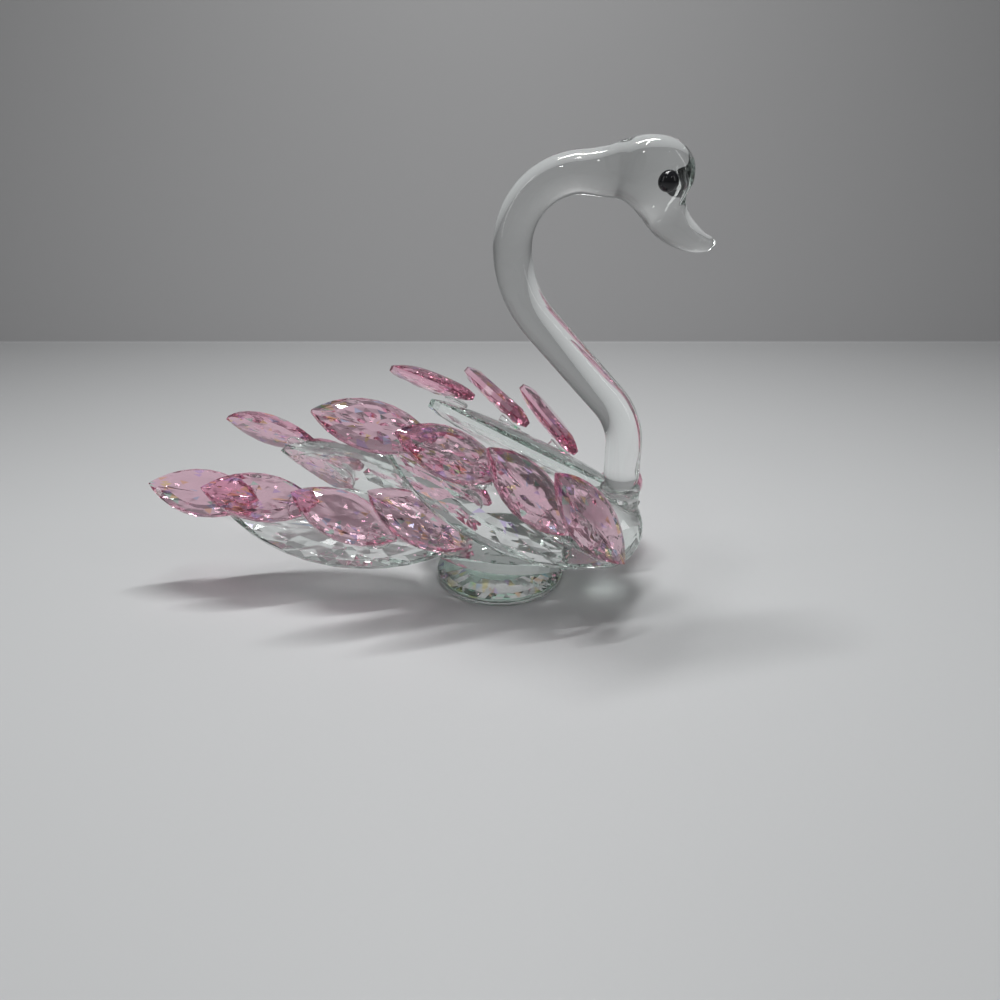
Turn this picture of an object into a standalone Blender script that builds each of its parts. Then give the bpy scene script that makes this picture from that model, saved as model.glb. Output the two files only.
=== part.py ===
"""Swan ornament built from cut glass stones, glued together on a round foot.

Metres, +Z up. The origin is the centre of the foot's underside, +X points to the
breast and bill, and +Y is the swan's left. Every stone is a solid of its own.
"""

import math

import bmesh
import bpy
from mathutils import Matrix, Vector

MM = 0.001

# Gap kept between two glued pieces
GLUE_GAP = 0.3 * MM

# Foot
FOOT_DIAMETER = 60.0 * MM
FOOT_HEIGHT = 6.8 * MM
FOOT_RIM_HEIGHT = 2.8 * MM
FOOT_TOP_DIAMETER = 38.0 * MM
FOOT_FACETS = 20

# Body stone that lies flat on the foot
BODY_LENGTH = 84.0 * MM
BODY_WIDTH = 45.0 * MM
BODY_THICKNESS = 15.8 * MM
BODY_FORWARD = 2.0 * MM

# Breast ball, set ahead of the body stone's point and above its middle
BALL_DIAMETER = 38.0 * MM
BALL_AHEAD = 3.0 * MM
BALL_RISE = 14.5 * MM
BALL_BANDS = 9
BALL_FACETS = 14

# Neck, a bent rod that stands on the ball a little ahead of its centre
NECK_DIAMETER = 15.4 * MM
NECK_AHEAD = 7.0 * MM
NECK_UPRIGHT = 13.5 * MM
NECK_LOW_BEND_RADIUS = 28.0 * MM
NECK_LEAN = math.radians(44.0)
NECK_BACK_RUN = 42.3 * MM
NECK_BACK_BEND_RADIUS = 42.0 * MM
NECK_CROOK_RADIUS = 27.0 * MM
NECK_SIDES = 20

# Collar of clear cement round the neck's foot
COLLAR_WALL = 1.2 * MM
COLLAR_LIP = 2.7 * MM
COLLAR_DEPTH = 10.8 * MM

# Head and bill, each row measured from the top of the crook: the upper outline's
# forward and height, the lower outline's forward and height, and the half width
HEAD_STATIONS_MM = (
    (8.0, 0.4, 7.0, -15.2, 7.8),
    (17.0, 3.2, 12.0, -15.4, 9.2),
    (25.0, 4.8, 15.6, -17.0, 11.2),
    (33.5, 3.0, 18.8, -20.2, 11.9),
    (39.4, -3.0, 22.0, -24.2, 10.6),
    (40.2, -10.0, 25.5, -28.0, 8.0),
    (38.0, -16.0, 30.0, -31.4, 6.6),
    (40.2, -21.4, 35.5, -34.0, 6.4),
    (44.2, -26.0, 41.0, -35.3, 5.8),
    (48.2, -28.4, 45.6, -34.0, 4.4),
)
BILL_TIP_MM = (50.6, -30.4)

# Eyes, measured from the top of the crook as the head is
EYE_DIAMETER = 7.4 * MM
EYE_AHEAD = 31.6 * MM
EYE_BELOW = 10.1 * MM
EYE_SIDE = 10.4 * MM

# Long clear wing stones
WING_LENGTH = 112.0 * MM
WING_WIDTH = 37.0 * MM
WING_THICKNESS = 12.0 * MM

# Each wing stone's root end, then its lie. The root end is given forward, outward and
# upward, in shares of the ball's radius from its centre for an upper wing, and of the
# body stone's half length, half width and half thickness from its middle for a lower
# one. The lie is how far the stone spreads outward and climbs towards the tail, and how
# far its table turns up from facing outward, in degrees. The stones are set by hand, so
# the two sides differ
UPPER_WINGS = {
    "right": ((0.413, 1.132, -0.338), (2.6, 25.9, 50.0)),
    "left": ((0.813, 1.130, 0.122), (3.3, 21.7, 60.0)),
}
LOWER_WINGS = {
    "right": ((-0.362, 0.757, 0.889), (6.7, 6.1, 50.0)),
    "left": ((-0.436, 0.687, 0.832), (7.9, 9.7, 22.0)),
}

# Pink feather stones and the round pads under them
FEATHER_LENGTH = 50.0 * MM
FEATHER_WIDTH = 22.0 * MM
FEATHER_THICKNESS = 8.0 * MM
PAD_DIAMETER = 12.0 * MM
PAD_INSET = 8.0 * MM
PAD_DEPTH = 3.0 * MM
PAD_SIDES = 24

# Each row's feathers from tail to root. The first two numbers are where the pad stands
# on the wing, as shares of its half length towards the tail and of its half width
# towards the upper edge. The next two are how the feather turns towards the upper edge
# and how it lifts off the wing, in degrees. The last is the pad's height in mm
UPPER_FEATHERS = {
    "right": (
        (0.788, 0.276, -18.0, 6.0, 2.2),
        (0.218, 0.378, -14.0, 19.0, 2.3),
        (-0.409, 0.054, 14.0, 17.0, 2.4),
        (-0.870, 0.108, 17.0, 24.0, 2.2),
    ),
    "left": (
        (0.805, -0.184, -17.0, -4.0, 1.3),
        (0.273, 0.265, -27.0, 17.0, 2.4),
        (-0.189, 0.049, -28.0, 25.0, 2.2),
        (-0.840, -0.300, -80.0, -20.0, 1.5),
    ),
}
LOWER_FEATHERS = {
    "right": (
        (0.804, 0.135, 0.0, 2.0, 0.9),
        (0.332, 0.200, -5.0, 13.5, 3.1),
        (-0.346, -0.211, 12.0, 14.0, 2.5),
        (-0.907, -0.114, 18.0, 14.0, 2.5),
    ),
    "left": (
        (0.913, -0.076, 9.0, -10.0, 1.2),
        (0.341, -0.411, -12.0, 6.0, 2.8),
        (-0.346, -0.211, 12.0, 14.0, 2.5),
        (-0.907, -0.114, 18.0, 14.0, 2.5),
    ),
}

# Share of a stone's outline taken by its flat table, and by the row of facets
# between table and edge
TABLE_SHARE = 0.62
FACET_SHARE = 0.84
FACET_RISE = 0.62
EDGE_SHARE = 0.34

SIDES = (("right", -1.0), ("left", 1.0))


def clearScene():
    for item in list(bpy.data.objects):
        bpy.data.objects.remove(item, do_unlink=True)


def addMaterial(name, colour, roughness, alpha, transmission):
    material = bpy.data.materials.new(name)
    material.use_nodes = True
    shader = material.node_tree.nodes["Principled BSDF"]
    shader.inputs["Base Color"].default_value = (*colour, 1.0)
    shader.inputs["Roughness"].default_value = roughness
    shader.inputs["Metallic"].default_value = 0.0
    shader.inputs["IOR"].default_value = 1.52
    shader.inputs["Transmission Weight"].default_value = transmission
    shader.inputs["Alpha"].default_value = alpha
    return material


def addObject(name, mesh, material):
    made = bpy.data.objects.new(name, mesh)
    mesh.materials.append(material)
    bpy.context.scene.collection.objects.link(made)
    return made


def meshFrom(name, shape):
    bmesh.ops.recalc_face_normals(shape, faces=shape.faces)
    mesh = bpy.data.meshes.new(name)
    shape.to_mesh(mesh)
    shape.free()
    return mesh


def shadeSmooth(mesh):
    for face in mesh.polygons:
        face.use_smooth = True


def hideCutter(cutter):
    cutter.hide_render = True
    cutter.display_type = "WIRE"


def cut(target, cutter):
    step = target.modifiers.new("seat", "BOOLEAN")
    step.operation = "DIFFERENCE"
    step.solver = "EXACT"
    step.object = cutter


def pointedRing(length, width, share, height, steps, shift):
    """Points round an outline of two equal arcs that meet in a point at each end."""
    half = 0.5 * length
    radius = (half * half + 0.25 * width * width) / width
    ring = []
    for side in (1.0, -1.0):
        for step in range(steps):
            along = half * math.cos(math.pi * (step + shift) / steps) * side
            across = math.sqrt(radius * radius - along * along) - radius + 0.5 * width
            ring.append(Vector((along * share, across * share * side, height)))
    return ring


def hullMesh(name, points, place):
    """Closed convex solid round the points, placed by a matrix."""
    shape = bmesh.new()
    for point in points:
        shape.verts.new(place @ point)
    result = bmesh.ops.convex_hull(shape, input=shape.verts)
    unused = [item for item in result["geom_interior"] if isinstance(item, bmesh.types.BMVert)]
    bmesh.ops.delete(shape, geom=unused, context="VERTS")
    return meshFrom(name, shape)


def pointedStone(name, length, width, thickness, steps, place):
    """Cut stone with two points, a flat table on each face and a band round its edge."""
    halfEdge = 0.5 * EDGE_SHARE * thickness
    halfTable = 0.5 * thickness
    halfFacet = halfEdge + FACET_RISE * (halfTable - halfEdge)
    points = []
    for up in (1.0, -1.0):
        points += pointedRing(length, width, 1.0, up * halfEdge, steps, 0.0)
        points += pointedRing(length, width, FACET_SHARE, up * halfFacet, steps, 0.5)
        points += pointedRing(length, width, TABLE_SHARE, up * halfTable, steps, 0.0)
    return hullMesh(name, points, place)


def placeFrom(origin, along, normal):
    """Matrix with its X along the stone and its Z out of the stone's table."""
    along = along.normalized()
    normal = (normal - along * normal.dot(along)).normalized()
    across = normal.cross(along)
    turn = Matrix((along, across, normal)).transposed().to_4x4()
    return Matrix.Translation(origin) @ turn


def buildFoot(material):
    """Round foot: upright rim, then a row of facets up to a flat top."""
    radius = 0.5 * FOOT_DIAMETER
    points = []
    for height, share, shift in (
        (0.0, 0.965, 0.0),
        (0.28 * FOOT_RIM_HEIGHT, 1.0, 0.0),
        (FOOT_RIM_HEIGHT, 1.0, 0.0),
        (0.66 * FOOT_HEIGHT, 0.86, 0.5),
        (FOOT_HEIGHT, FOOT_TOP_DIAMETER / FOOT_DIAMETER, 0.0),
    ):
        count = FOOT_FACETS if shift else 2 * FOOT_FACETS
        for step in range(count):
            angle = 2.0 * math.pi * (step + shift) / count
            reach = radius * share
            points.append(Vector((reach * math.cos(angle), reach * math.sin(angle), height)))
    mesh = hullMesh("foot", points, Matrix.Identity(4))
    return addObject("foot", mesh, material)


def bodyCentre():
    return Vector((BODY_FORWARD, 0.0, FOOT_HEIGHT + GLUE_GAP + 0.5 * BODY_THICKNESS))


def ballCentre():
    return bodyCentre() + Vector((0.5 * BODY_LENGTH + BALL_AHEAD, 0.0, BALL_RISE))


def neckFoot():
    """Lowest point of the neck's rounded end, a glue gap above the ball's top."""
    return ballCentre() + Vector((NECK_AHEAD, 0.0, 0.5 * BALL_DIAMETER + GLUE_GAP))


def ballMesh(name, radius):
    """Ball of staggered facets with a small flat at top and bottom."""
    points = []
    for band in range(BALL_BANDS):
        tilt = math.pi * (band + 0.55) / (BALL_BANDS + 0.1)
        for step in range(BALL_FACETS):
            angle = 2.0 * math.pi * (step + 0.5 * (band % 2)) / BALL_FACETS
            reach = radius * math.sin(tilt)
            points.append(
                Vector((reach * math.cos(angle), reach * math.sin(angle), radius * math.cos(tilt)))
            )
    return hullMesh(name, points, Matrix.Translation(ballCentre()))


def neckPath():
    """Points and headings up the neck: upright, leaning back, then over the crook."""
    path = []
    x = neckFoot().x
    z = neckFoot().z + 0.5 * NECK_DIAMETER
    heading = 0.5 * math.pi
    runs = (
        (NECK_UPRIGHT, 0.0, 3),
        (NECK_LOW_BEND_RADIUS, NECK_LEAN, 8),
        (NECK_BACK_RUN, 0.0, 6),
        (NECK_BACK_BEND_RADIUS, -NECK_LEAN, 9),
        (NECK_CROOK_RADIUS, -math.radians(88.0), 14),
    )
    path.append((x, z, heading))
    for size, turn, steps in runs:
        for _ in range(steps):
            if turn:
                stride = 2.0 * size * math.sin(abs(turn) / steps / 2.0)
                heading += 0.5 * turn / steps
                x += stride * math.cos(heading)
                z += stride * math.sin(heading)
                heading += 0.5 * turn / steps
            else:
                x += size / steps * math.cos(heading)
                z += size / steps * math.sin(heading)
            path.append((x, z, heading))
    return path


def crookTop():
    x, z, heading = neckPath()[-1]
    return Vector((x, 0.0, z + 0.5 * NECK_DIAMETER))


def smoothStations(rows, steps):
    """Rows with further ones between them, on a smooth curve through all of them."""
    smooth = []
    last = len(rows) - 1
    for index in range(last):
        before = rows[max(index - 1, 0)]
        start = rows[index]
        end = rows[index + 1]
        after = rows[min(index + 2, last)]
        for step in range(steps):
            t = step / steps
            row = []
            for a, b, c, d in zip(before, start, end, after):
                row.append(
                    0.5 * (2.0 * b + (c - a) * t + (2.0 * a - 5.0 * b + 4.0 * c - d) * t * t
                           + (3.0 * b - a - 3.0 * c + d) * t ** 3)
                )
            smooth.append(tuple(row))
    smooth.append(rows[last])
    return smooth


def neckRings():
    """Rings from the rod's rounded end up the neck and through the head to the bill."""
    radius = 0.5 * NECK_DIAMETER
    rings = []
    for step in range(1, 6):
        angle = 0.5 * math.pi * step / 6.0
        rise = Vector((0.0, 0.0, radius * (1.0 - math.cos(angle))))
        reach = radius * math.sin(angle)
        rings.append((neckFoot() + rise, Vector((reach, 0.0, 0.0)), reach))
    for x, z, heading in neckPath():
        across = Vector((math.sin(heading), 0.0, -math.cos(heading))) * radius
        rings.append((Vector((x, 0.0, z)), across, radius))
    top = crookTop()
    stations = [(0.0, 0.0, 0.5, -NECK_DIAMETER / MM, radius / MM)] + list(HEAD_STATIONS_MM)
    for upX, upZ, lowX, lowZ, half in smoothStations(stations, 3)[1:]:
        upper = top + Vector((upX, 0.0, upZ)) * MM
        lower = top + Vector((lowX, 0.0, lowZ)) * MM
        rings.append((0.5 * (upper + lower), 0.5 * (lower - upper), half * MM))
    tip = top + Vector((BILL_TIP_MM[0], 0.0, BILL_TIP_MM[1])) * MM
    return rings, tip


def buildNeck(material, sockets):
    rings, tip = neckRings()
    shape = bmesh.new()
    loops = []
    for centre, across, half in rings:
        loop = []
        for side in range(NECK_SIDES):
            angle = 2.0 * math.pi * side / NECK_SIDES
            sideways = Vector((0.0, half * math.sin(angle), 0.0))
            loop.append(shape.verts.new(centre + across * math.cos(angle) + sideways))
        loops.append(loop)
    bottom = shape.verts.new(neckFoot())
    end = shape.verts.new(tip)
    for lower, upper in zip(loops, loops[1:]):
        for side in range(NECK_SIDES):
            after = (side + 1) % NECK_SIDES
            shape.faces.new((lower[side], lower[after], upper[after], upper[side]))
    for side in range(NECK_SIDES):
        after = (side + 1) % NECK_SIDES
        shape.faces.new((bottom, loops[0][after], loops[0][side]))
        shape.faces.new((end, loops[-1][side], loops[-1][after]))
    mesh = meshFrom("neck_and_head", shape)
    shadeSmooth(mesh)
    neck = addObject("neck_and_head", mesh, material)
    for socket in sockets:
        cut(neck, socket)
    return neck


def sphereMesh(name, centre, radius, segments, rings):
    shape = bmesh.new()
    place = Matrix.Translation(centre)
    bmesh.ops.create_uvsphere(
        shape, u_segments=segments, v_segments=rings, radius=radius, matrix=place
    )
    mesh = meshFrom(name, shape)
    shadeSmooth(mesh)
    return mesh


def rodMesh(name, radius, bottom, top, sides, place):
    shape = bmesh.new()
    lift = Matrix.Translation((0.0, 0.0, 0.5 * (bottom + top)))
    bmesh.ops.create_cone(
        shape,
        cap_ends=True,
        segments=sides,
        radius1=radius,
        radius2=radius,
        depth=top - bottom,
        matrix=place @ lift,
    )
    return meshFrom(name, shape)


def buildEyes(black, plain):
    """Two round beads, and the hollows in the head that hold them."""
    sockets = []
    for side, sign in SIDES:
        centre = crookTop() + Vector((EYE_AHEAD, sign * EYE_SIDE, -EYE_BELOW))
        mesh = sphereMesh("eye_" + side, centre, 0.5 * EYE_DIAMETER, 20, 12)
        addObject("eye_" + side, mesh, black)
        mesh = sphereMesh("socket_" + side, centre, 0.5 * EYE_DIAMETER + GLUE_GAP, 20, 12)
        socket = addObject("socket_" + side, mesh, plain)
        hideCutter(socket)
        sockets.append(socket)
    return sockets


def buildCollar(material, plain, ballCutter):
    """Cup of cement between the ball and the rounded end of the neck."""
    radius = 0.5 * NECK_DIAMETER
    place = Matrix.Translation(neckFoot())
    mesh = rodMesh("neck_collar", radius + COLLAR_WALL, -COLLAR_DEPTH, COLLAR_LIP, 16, place)
    collar = addObject("neck_collar", mesh, material)
    cut(collar, ballCutter)
    middle = neckFoot() + Vector((0.0, 0.0, radius))
    mesh = sphereMesh("neck_end", middle, radius + GLUE_GAP, 20, 12)
    seat = addObject("neck_end", mesh, plain)
    hideCutter(seat)
    cut(collar, seat)
    return collar


def wingPlace(setting, middle, halves, sign):
    """Matrix at the wing stone's middle, from its root end, spread, climb and turn."""
    shares, lie = setting
    root = middle + Vector(
        (shares[0] * halves[0], sign * shares[1] * halves[1], shares[2] * halves[2])
    )
    spread, climb, turnOut = (math.radians(angle) for angle in lie)
    level = math.cos(climb)
    along = Vector((-level * math.cos(spread), sign * level * math.sin(spread), math.sin(climb)))
    outward = Vector((0.0, sign, 0.0))
    outward = (outward - along * outward.dot(along)).normalized()
    upward = Vector((0.0, 0.0, 1.0))
    upward = upward - along * upward.dot(along)
    upward = (upward - outward * upward.dot(outward)).normalized()
    normal = outward * math.cos(turnOut) + upward * math.sin(turnOut)
    return placeFrom(root + along * 0.5 * WING_LENGTH, along, normal)


def buildWing(name, place, clear, plain):
    """Long clear stone and the slightly larger shape that its pads are cut back by."""
    mesh = pointedStone(name, WING_LENGTH, WING_WIDTH, WING_THICKNESS, 11, place)
    stone = addObject(name, mesh, clear)
    grow = 2.0 * GLUE_GAP
    mesh = pointedStone(
        name + "_cutter", WING_LENGTH + grow, WING_WIDTH + grow, WING_THICKNESS + grow, 11, place
    )
    cutter = addObject(name + "_cutter", mesh, plain)
    hideCutter(cutter)
    return stone, cutter


def buildFeather(name, place, sign, spot, pink, clear, plain, seats):
    """One pink stone, raised on a round pad that is cut to fit both stones."""
    along, across, turn, lift, rise = spot
    spotOnWing = Matrix.Translation(
        (
            along * 0.5 * WING_LENGTH,
            sign * across * 0.5 * WING_WIDTH,
            0.5 * WING_THICKNESS + rise * MM,
        )
    )
    turned = place @ spotOnWing @ Matrix.Rotation(sign * math.radians(turn), 4, "Z")
    lifted = Matrix.Rotation(-math.radians(lift), 4, "Y")
    toStone = Matrix.Translation(
        (0.5 * FEATHER_LENGTH - PAD_INSET, 0.0, 0.5 * FEATHER_THICKNESS)
    )
    stonePlace = turned @ lifted @ toStone
    mesh = pointedStone(name, FEATHER_LENGTH, FEATHER_WIDTH, FEATHER_THICKNESS, 9, stonePlace)
    addObject(name, mesh, pink)
    grow = 2.0 * GLUE_GAP
    mesh = pointedStone(
        name + "_cutter",
        FEATHER_LENGTH + grow,
        FEATHER_WIDTH + grow,
        FEATHER_THICKNESS + grow,
        9,
        stonePlace,
    )
    cutter = addObject(name + "_cutter", mesh, plain)
    hideCutter(cutter)
    padName = name.replace("feather", "pad")
    padPlace = turned @ Matrix.Rotation(-0.5 * math.radians(lift), 4, "Y")
    mesh = rodMesh(
        padName,
        0.5 * PAD_DIAMETER,
        -rise * MM - PAD_DEPTH,
        0.5 * FEATHER_THICKNESS,
        PAD_SIDES,
        padPlace,
    )
    pad = addObject(padName, mesh, clear)
    for seat in [cutter] + seats:
        cut(pad, seat)


def buildRow(row, place, feathers, side, sign, clear, pink, plain, seats):
    """One wing stone with its feathers, all cut back by what they sit against."""
    stone, cutter = buildWing("wing_" + row + "_" + side, place, clear, plain)
    for number, spot in enumerate(feathers, 1):
        name = "feather_" + row + "_" + side + "_" + str(number)
        buildFeather(name, place, sign, spot, pink, clear, plain, [cutter] + seats)
    for seat in seats:
        cut(stone, seat)


def main():
    clearScene()
    clear = addMaterial("clear glass", (0.90, 0.95, 0.93), 0.02, 1.0, 1.0)
    pink = addMaterial("pink glass", (0.93, 0.60, 0.72), 0.02, 1.0, 1.0)
    black = addMaterial("black glass", (0.01, 0.01, 0.012), 0.06, 1.0, 0.0)
    plain = addMaterial("cutter", (0.5, 0.5, 0.5), 0.5, 1.0, 0.0)
    grow = 2.0 * GLUE_GAP

    buildFoot(clear)

    mesh = ballMesh("breast_ball", 0.5 * BALL_DIAMETER)
    addObject("breast_ball", mesh, clear)
    mesh = ballMesh("ball_cutter", 0.5 * BALL_DIAMETER + GLUE_GAP)
    ballCutter = addObject("ball_cutter", mesh, plain)
    hideCutter(ballCutter)

    bodyPlace = Matrix.Translation(bodyCentre())
    mesh = pointedStone("body_stone", BODY_LENGTH, BODY_WIDTH, BODY_THICKNESS, 11, bodyPlace)
    body = addObject("body_stone", mesh, clear)
    cut(body, ballCutter)
    mesh = pointedStone(
        "body_cutter",
        BODY_LENGTH + grow,
        BODY_WIDTH + grow,
        BODY_THICKNESS + grow,
        11,
        bodyPlace,
    )
    bodyCutter = addObject("body_cutter", mesh, plain)
    hideCutter(bodyCutter)

    sockets = buildEyes(black, plain)
    buildNeck(clear, sockets)
    buildCollar(clear, plain, ballCutter)

    radius = 0.5 * BALL_DIAMETER
    ballHalves = (radius, radius, radius)
    bodyHalves = (0.5 * BODY_LENGTH, 0.5 * BODY_WIDTH, 0.5 * BODY_THICKNESS)
    for side, sign in SIDES:
        place = wingPlace(UPPER_WINGS[side], ballCentre(), ballHalves, sign)
        feathers = UPPER_FEATHERS[side]
        buildRow("upper", place, feathers, side, sign, clear, pink, plain, [ballCutter])
        place = wingPlace(LOWER_WINGS[side], bodyCentre(), bodyHalves, sign)
        feathers = LOWER_FEATHERS[side]
        buildRow("lower", place, feathers, side, sign, clear, pink, plain, [bodyCutter])


main()
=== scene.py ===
import math

import bpy
import numpy as np
from mathutils import Matrix


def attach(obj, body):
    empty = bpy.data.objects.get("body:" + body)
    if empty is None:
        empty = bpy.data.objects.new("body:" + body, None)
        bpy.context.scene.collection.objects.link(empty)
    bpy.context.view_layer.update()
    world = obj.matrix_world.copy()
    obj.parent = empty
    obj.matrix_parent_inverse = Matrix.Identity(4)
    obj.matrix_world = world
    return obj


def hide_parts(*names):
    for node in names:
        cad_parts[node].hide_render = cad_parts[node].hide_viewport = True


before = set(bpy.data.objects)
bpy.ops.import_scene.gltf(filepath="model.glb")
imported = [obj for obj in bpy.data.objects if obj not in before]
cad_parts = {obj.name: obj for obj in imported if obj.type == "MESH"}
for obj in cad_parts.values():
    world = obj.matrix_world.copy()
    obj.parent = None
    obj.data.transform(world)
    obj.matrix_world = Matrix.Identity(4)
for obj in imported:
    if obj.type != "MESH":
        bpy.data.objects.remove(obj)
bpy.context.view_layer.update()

mm = 0.001
print("swan: packed model read,", len(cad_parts), "nodes")


# where the photograph was taken from
view = {
    "lens": 26.0,  # mm
    "sensor": 36.0,  # mm across
    "nearest": 0.01,  # metres from which the camera sees
    "tilt": 26.0,  # degrees below level
    "turn": 13.0,  # degrees that the swan faces towards the camera
    "distance": 299.0 * mm,  # along the floor, from the foot's centre
    "height": 184.0 * mm,
}
# light crosses many facets and turns back inside the stones before it comes out, so
# more bounces are let through than usual
lightTurns = {"all": 18, "glossy": 14, "transmission": 16}


def addCamera():
    # stands on a circle round the foot, at the turn's sine and cosine times its distance
    turn = math.radians(view["turn"])
    data = bpy.data.cameras.new("camera")
    data.lens = view["lens"]
    data.sensor_width = view["sensor"]
    data.clip_start = view["nearest"]
    camera = bpy.data.objects.new("camera", data)
    camera.location = (
        view["distance"] * math.sin(turn),
        -view["distance"] * math.cos(turn),
        view["height"],
    )
    camera.rotation_euler = (math.radians(90.0 - view["tilt"]), 0.0, turn)
    bpy.context.scene.collection.objects.link(camera)
    bpy.context.scene.camera = camera


addCamera()
scene = bpy.context.scene
scene.view_settings.view_transform = "Standard"
scene.cycles.max_bounces = lightTurns["all"]
scene.cycles.glossy_bounces = lightTurns["glossy"]
scene.cycles.transmission_bounces = lightTurns["transmission"]
print("swan: camera placed")


class Sum:
    # wraps one output socket, so that shader maths is written as Python sums

    def __init__(self, tree, socket):
        self.tree = tree
        self.socket = socket

    def node(self, kind, settings=None, **values):
        # a value named i and a number goes to the input with that number
        made = self.tree.nodes.new(kind)
        for name, value in (settings or {}).items():
            setattr(made, name, value)
        for name, value in values.items():
            key = int(name[1:]) if name[0] == "i" and name[1:].isdigit() else name.replace("_", " ")
            self.feed(made.inputs[key], value)
        return made

    def feed(self, socket, value):
        if isinstance(value, Sum):
            self.tree.links.new(value.socket, socket)
        elif isinstance(value, bpy.types.NodeSocket):
            self.tree.links.new(value, socket)
        else:
            socket.default_value = value

    def wrap(self, socket):
        return Sum(self.tree, socket)

    def math(self, operation, a, b=0.0, clamp=False):
        made = self.node("ShaderNodeMath", {"operation": operation, "use_clamp": clamp}, i0=a, i1=b)
        return self.wrap(made.outputs[0])

    def __add__(self, other):
        return self.math("ADD", self, other)

    __radd__ = __add__

    def __sub__(self, other):
        return self.math("SUBTRACT", self, other)

    def __rsub__(self, other):
        return self.math("SUBTRACT", other, self)

    def __mul__(self, other):
        return self.math("MULTIPLY", self, other)

    __rmul__ = __mul__

    def __truediv__(self, other):
        return self.math("DIVIDE", self, other)

    def __gt__(self, other):
        return self.math("GREATER_THAN", self, other)

    def clamped(self):
        return self.math("ADD", self, 0.0, clamp=True)

    def mix(self, a, b):
        # colour a where this is 0 and colour b where it is 1
        made = self.node("ShaderNodeMix", {"data_type": "RGBA"}, i0=self, i6=a, i7=b)
        return self.wrap(made.outputs[2])


def newMaterial(name):
    # a material, its shader, and a start for sums in its node tree
    material = bpy.data.materials.new(name)
    material.use_nodes = True
    tree = material.node_tree
    shader = tree.nodes["Principled BSDF"]
    start = Sum(tree, shader.outputs[0])
    return material, shader, start


def noiseOn(start, scale, detail=2.0, stretch=(1.0, 1.0, 1.0)):
    # noise from 0 to 1 that stays on the piece, with this many cells to a metre
    place = start.node("ShaderNodeTexCoord").outputs["Object"]
    sized = start.node("ShaderNodeMapping", {"vector_type": "POINT"}, Vector=place, Scale=stretch)
    made = start.node("ShaderNodeTexNoise", None, Vector=sized.outputs[0], Scale=scale, Detail=detail)
    return start.wrap(made.outputs[0])


dust = {"detail": 3.0, "from": 0.62, "rise": 0.5}  # noise is dust above the second number


def dustOn(start, kind):
    # the polish's roughness everywhere, and more where the noise is high
    specks = noiseOn(start, kind["dustScale"], dust["detail"])
    return ((specks - dust["from"]) * dust["rise"]).clamped() * kind["dusty"] + kind["polish"]


def setGlass(shader, bend):
    # lets light through, bent by this index of refraction
    shader.inputs["IOR"].default_value = bend
    shader.inputs["Transmission Weight"].default_value = 1.0


def addDepth(material, start, colour, density):
    # what the glass takes out of the light on its way through
    body = start.node("ShaderNodeVolumeAbsorption", None, Color=colour, Density=density)
    out = material.node_tree.nodes["Material Output"]
    material.node_tree.links.new(body.outputs[0], out.inputs["Volume"])


glass = {
    "bend": 1.56,  # index of refraction
    "clear": (0.985, 0.995, 0.99, 1.0),
    "clearDepth": (0.55, 0.92, 0.76, 1.0),  # what long paths turn to
    "clearDensity": 3.6,
    "footDensity": 0.9,
    "pink": (0.985, 0.725, 0.825, 1.0),
    "pinkDepth": (0.94, 0.43, 0.62, 1.0),
    "pinkDensity": 22.0,
    "dustScale": 900.0,
    "dusty": 0.35,
    "polish": 0.004,
    "paintedGlintFrom": 0.90,  # share of facets with no painted rainbow glint
    # painted rainbow glints: colours put into a few facets where light would split into colours
    "paintedGlint": (
        (0.45, 0.66, 1.0, 1.0),
        (0.66, 0.48, 1.0, 1.0),
        (1.0, 0.82, 0.30, 1.0),
        (0.45, 1.0, 0.72, 1.0),
        (1.0, 0.55, 0.30, 1.0),
    ),
}


def cutGlass(name, tint, depth, density):
    # polished facets, a few of which have a painted rainbow glint put into their base colour
    material, shader, start = newMaterial(name)
    paintedGlint = start.node("ShaderNodeAttribute", {"attribute_name": "paintedGlint"})
    value = start.wrap(paintedGlint.outputs["Fac"])
    colour = tint
    share = (1.0 - glass["paintedGlintFrom"]) / len(glass["paintedGlint"])
    # painted rainbow glint: a facet whose random number lies above an edge takes that glint colour
    for index, paintedGlintColour in enumerate(glass["paintedGlint"]):
        edge = glass["paintedGlintFrom"] + share * index
        colour = (value > edge).mix(colour, paintedGlintColour)
    start.feed(shader.inputs["Base Color"], colour)
    start.feed(shader.inputs["Roughness"], dustOn(start, glass))
    setGlass(shader, glass["bend"])
    addDepth(material, start, depth, density)
    return material


rod = {
    "bend": 1.5,
    "density": 1.5,
    "dustScale": 700.0,
    "dusty": 0.3,
    "polish": 0.003,
    "waveScale": 60.0,
    "waveStretch": (1.0, 1.0, 0.25),
    "waveStrength": 0.02,
    "waveHeight": 0.4 * mm,
}


def drawnGlass(name):
    # hot-drawn rod, with faint waves along it
    material, shader, start = newMaterial(name)
    shader.inputs["Base Color"].default_value = glass["clear"]
    start.feed(shader.inputs["Roughness"], dustOn(start, rod))
    waves = noiseOn(start, rod["waveScale"], stretch=rod["waveStretch"])
    bump = start.node(
        "ShaderNodeBump", None, Strength=rod["waveStrength"], Distance=rod["waveHeight"], Height=waves
    )
    start.feed(shader.inputs["Normal"], bump.outputs[0])
    setGlass(shader, rod["bend"])
    addDepth(material, start, glass["clearDepth"], rod["density"])
    return material


cementLook = {
    "colour": (0.97, 0.98, 0.97, 1.0),
    "bend": 1.5,
    "rippleScale": 260.0,
    "rippleDetail": 3.0,
    "rough": (0.01, 0.05),  # least, and what the ripples add
    "rippleStrength": 0.35,
    "rippleHeight": 0.6 * mm,
}


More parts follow.
